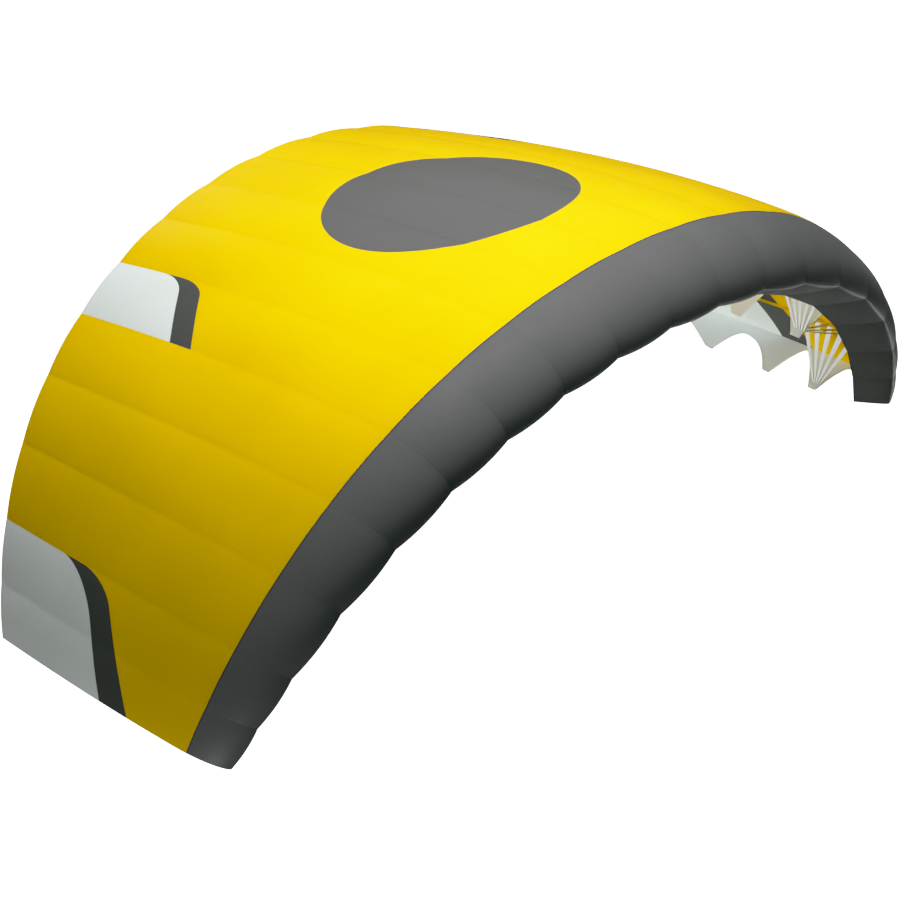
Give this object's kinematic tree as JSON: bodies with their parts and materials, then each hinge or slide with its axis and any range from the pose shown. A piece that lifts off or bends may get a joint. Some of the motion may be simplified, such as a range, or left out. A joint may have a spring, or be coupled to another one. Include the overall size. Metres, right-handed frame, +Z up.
{
  "type": "parawing",
  "caption": "Single-skin arched parawing in its flying shape: rolled nose, billowed cell panels, scalloped ribs with hanging line tips and fans of load strips.",
  "frame": {"origin": "on the middle plane, midway between the front line tips of the two middle ribs", "axes": "+X across the span to the right tip, +Y aft towards the trailing edge, +Z up"},
  "size_m": [2.7948, 1.3638, 0.9884],
  "materials": {
    "main": "matt ripstop, yellow",
    "nose": "matt ripstop, dark grey",
    "stripe": "matt ripstop, near black",
    "tail": "matt ripstop, light grey",
    "rib": "matt ripstop, pale grey",
    "fan": "matt ripstop, pale grey"
  },
  "bodies": {
    "root": {"nose_middle": "nose", "panel_left_1": "main", "panel_left_2": "main", "panel_left_3": "main", "panel_left_4": "main", "panel_left_5": "main", "panel_left_6": "main", "panel_left_7": "main", "panel_left_8": "main", "panel_left_9": "main", "stripe_left_inner": "stripe", "tail_left_inner": "tail", "stripe_left_tip": "stripe", "tail_left_tip": "tail", "nose_left_1": "nose", "nose_left_2": "nose", "nose_left_3": "nose", "nose_left_4": "nose", "rib_left_1": "rib", "rib_left_2": "rib", "rib_left_3": "rib", "rib_left_4": "rib", "rib_left_5": "rib", "fan_left_1": "fan", "fan_left_2": "fan", "fan_left_3": "fan", "fan_left_4": "fan", "fan_left_5": "fan", "panel_right_1": "main", "panel_right_2": "main", "panel_right_3": "main", "panel_right_4": "main", "panel_right_5": "main", "panel_right_6": "main", "panel_right_7": "main", "panel_right_8": "main", "panel_right_9": "main", "stripe_right_inner": "stripe", "tail_right_inner": "tail", "stripe_right_tip": "stripe", "tail_right_tip": "tail", "nose_right_1": "nose", "nose_right_2": "nose", "nose_right_3": "nose", "nose_right_4": "nose", "rib_right_1": "rib", "rib_right_2": "rib", "rib_right_3": "rib", "rib_right_4": "rib", "rib_right_5": "rib", "fan_right_1": "fan", "fan_right_2": "fan", "fan_right_3": "fan", "fan_right_4": "fan", "fan_right_5": "fan"}
  },
  "joints": []
}
